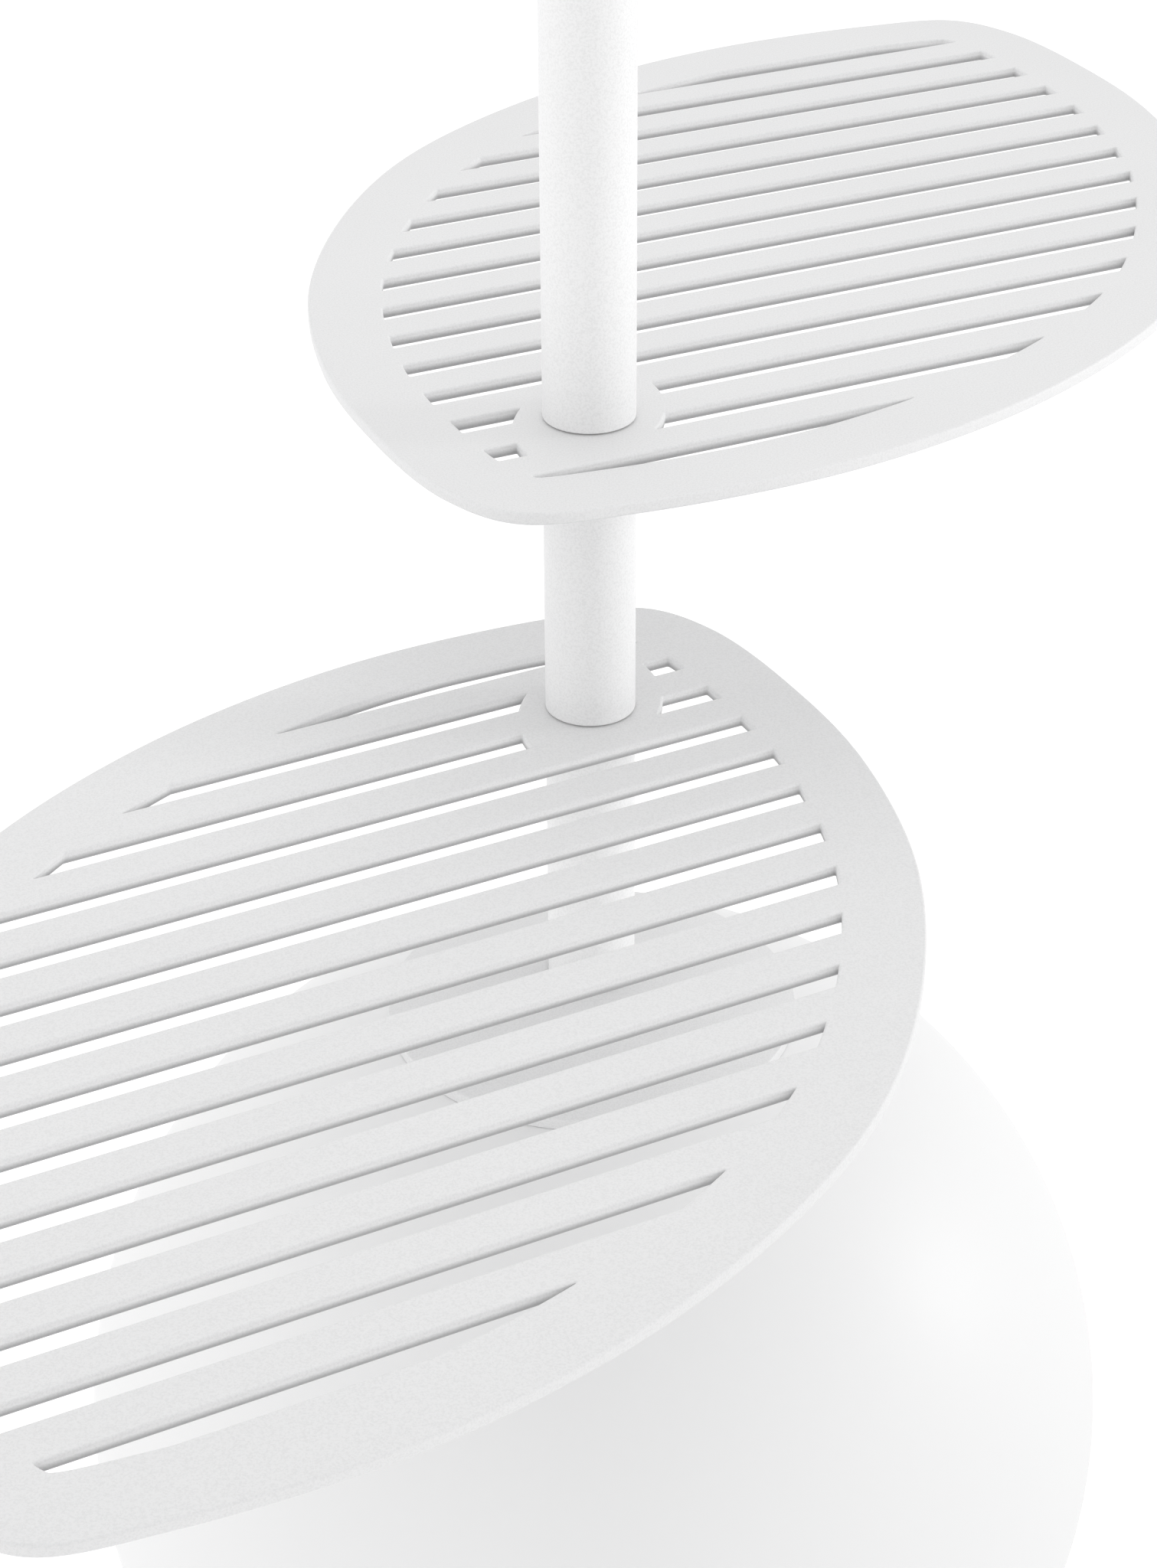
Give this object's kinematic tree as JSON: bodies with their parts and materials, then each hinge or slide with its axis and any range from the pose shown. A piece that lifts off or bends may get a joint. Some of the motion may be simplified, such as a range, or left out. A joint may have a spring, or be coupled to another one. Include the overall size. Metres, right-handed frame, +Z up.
{
  "type": "umbrella stand",
  "caption": "Free-standing umbrella stand: weighted globe base, round pole with hooks near its top, and slotted leaf-shaped shelves that turn round the pole.",
  "frame": {"origin": "on the floor, on the pole's axis, at the middle of the pad's underside", "axes": "+Z up along the pole; -Y is the front, where the lower shelf points; +Y is the back, where the upper shelf points"},
  "size_m": [0.4743, 0.8373, 1],
  "materials": {
    "coat": "white powder coat with a fine grain",
    "globe": "smooth satin white",
    "nylon": "moulded, plain",
    "steel": "zinc-plated",
    "ballast": "rough casting",
    "pad": "matte, fine texture"
  },
  "bodies": {
    "base_and_pole": {"ballast_weight": "ballast", "base_screw_1": "steel", "base_screw_2": "steel", "base_screw_3": "steel", "base_screw_4": "steel", "bottom_nut": "steel", "bottom_plate": "steel", "bottom_washer": "steel", "collar_grub_screw": "steel", "core_tube": "steel", "crown_cap": "coat", "crown_washer": "nylon", "floor_pad": "pad", "globe_shell": "globe", "hook_1": "coat", "hook_2": "coat", "hook_3": "coat", "hook_4": "coat", "hook_collar": "coat", "lower_shelf_over_washer": "nylon", "lower_shelf_under_washer": "nylon", "lower_tube": "coat", "lower_tube_foot_plug": "nylon", "lower_tube_top_plug": "nylon", "middle_tube": "coat", "middle_tube_foot_plug": "nylon", "middle_tube_top_plug": "nylon", "pole_end_cap": "coat", "tie_rod": "steel", "top_nut": "steel", "top_washer": "steel", "upper_shelf_over_washer": "nylon", "upper_shelf_under_washer": "nylon", "upper_tube": "coat", "upper_tube_foot_plug": "nylon", "upper_tube_top_plug": "nylon"},
    "lower_shelf_body": {"lower_shelf": "coat"},
    "upper_shelf_body": {"upper_shelf": "coat"}
  },
  "joints": [
    {"name": "lower_shelf_swivel", "type": "hinge", "parent": "base_and_pole", "child": "lower_shelf_body", "pos_m": [0, 0, 0.48274], "axis": [0, 0, 1], "continuous": true},
    {"name": "upper_shelf_swivel", "type": "hinge", "parent": "base_and_pole", "child": "upper_shelf_body", "pos_m": [0, 0, 0.59574], "axis": [0, 0, 1], "continuous": true}
  ]
}
